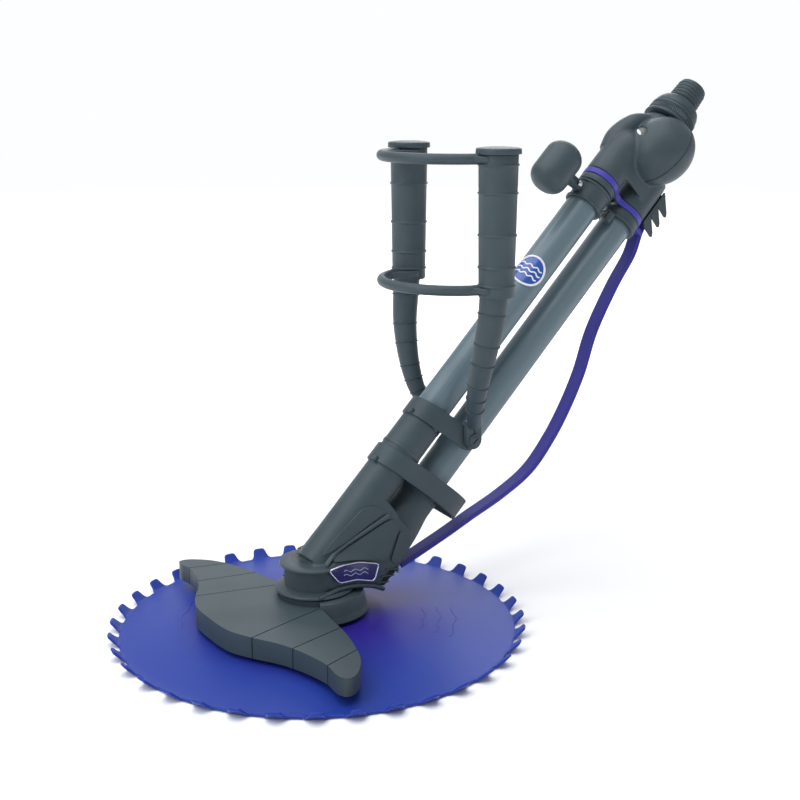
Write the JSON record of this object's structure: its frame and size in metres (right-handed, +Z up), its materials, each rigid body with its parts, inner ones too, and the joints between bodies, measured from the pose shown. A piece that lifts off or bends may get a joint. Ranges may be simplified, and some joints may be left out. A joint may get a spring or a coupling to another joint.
{
  "type": "suction pool cleaner",
  "caption": "Suction-side pool cleaner: toothed rubber seal, weighted wing, leaning twin tubes, tilting float handle, side float, bumper strap and swivelling hose nipple.",
  "frame": {"origin": "centre of the bounding box at the floor; the seal's axis stands at x = -0.1669", "axes": "+Z up, +X towards the back, where the tubes lean and the hose leaves, +Y to the far side"},
  "size_m": [0.7902, 0.4564, 0.5941],
  "materials": {
    "slate_plastic": "moulded polypropylene, fine satin texture",
    "tube_plastic": "extruded PVC pipe, satin gloss",
    "blue_rubber": "moulded polyurethane, smooth, slightly translucent",
    "blue_strap": "moulded flexible strap, satin",
    "black_rubber": "matt black rubber",
    "badge_blue": "printed badge with a gloss skin",
    "steel": "stainless steel"
  },
  "bodies": {
    "cleaner": {"ballast_lid": "slate_plastic", "ballast_screw_far": "steel", "ballast_screw_near": "steel", "band_latch": "slate_plastic", "bumper_strap": "blue_strap", "disc_retainer": "slate_plastic", "far_badge": "badge_blue", "far_side_cover": "slate_plastic", "far_vent_grille": "slate_plastic", "flapper_axle": "steel", "foot_base": "slate_plastic", "foot_sole": "black_rubber", "front_coupling": "slate_plastic", "front_tube": "tube_plastic", "front_wing": "slate_plastic", "handle_yoke": "slate_plastic", "head_manifold": "slate_plastic", "head_rear_cover": "slate_plastic", "lock_band": "blue_strap", "lower_hoop": "slate_plastic", "main_housing": "slate_plastic", "near_badge": "badge_blue", "near_side_cover": "slate_plastic", "near_vent_grille": "slate_plastic", "rear_coupling": "slate_plastic", "rear_tube": "tube_plastic", "strap_cleat": "slate_plastic", "strap_pin": "steel", "swivel_o_ring": "black_rubber", "throat_gasket": "black_rubber", "tube_badge": "badge_blue", "wing_ballast": "steel"},
    "seal": {"seal_disc": "blue_rubber", "disc_hub": "slate_plastic"},
    "valve": {"flapper": "black_rubber"},
    "handle": {"near_leg": "slate_plastic", "far_leg": "slate_plastic", "near_float_sleeve": "slate_plastic", "far_float_sleeve": "slate_plastic", "near_cap": "slate_plastic", "far_cap": "slate_plastic", "upper_bow": "slate_plastic", "lower_bow": "slate_plastic", "pivot_screw_near": "steel", "pivot_screw_far": "steel"},
    "side_float": {"float_collar": "slate_plastic", "float_capsule": "slate_plastic", "float_screw": "steel"},
    "outlet": {"hose_nipple": "slate_plastic", "swivel_collar": "slate_plastic"}
  },
  "joints": [
    {"name": "seal_spin", "type": "hinge", "parent": "cleaner", "child": "seal", "pos_m": [-0.16693, 0, 0.0175], "axis": [0, 0, 1], "continuous": true},
    {"name": "valve_swing", "type": "hinge", "parent": "cleaner", "child": "valve", "pos_m": [-0.10517, 0, 0.09672], "axis": [0, 1, 0], "range_deg": [-12, 12]},
    {"name": "handle_tilt", "type": "hinge", "parent": "cleaner", "child": "handle", "pos_m": [0.01669, 0, 0.19542], "axis": [0, 1, 0], "range_deg": [-60, 28]},
    {"name": "float_turn", "type": "hinge", "parent": "cleaner", "child": "side_float", "pos_m": [0.2139, 0, 0.45374], "axis": [0.7088, 0, 0.7054], "range_deg": [-110, 110]},
    {"name": "hose_swivel", "type": "hinge", "parent": "cleaner", "child": "outlet", "pos_m": [0.34734, 0, 0.54647], "axis": [0.7088, 0, 0.7054], "continuous": true}
  ]
}
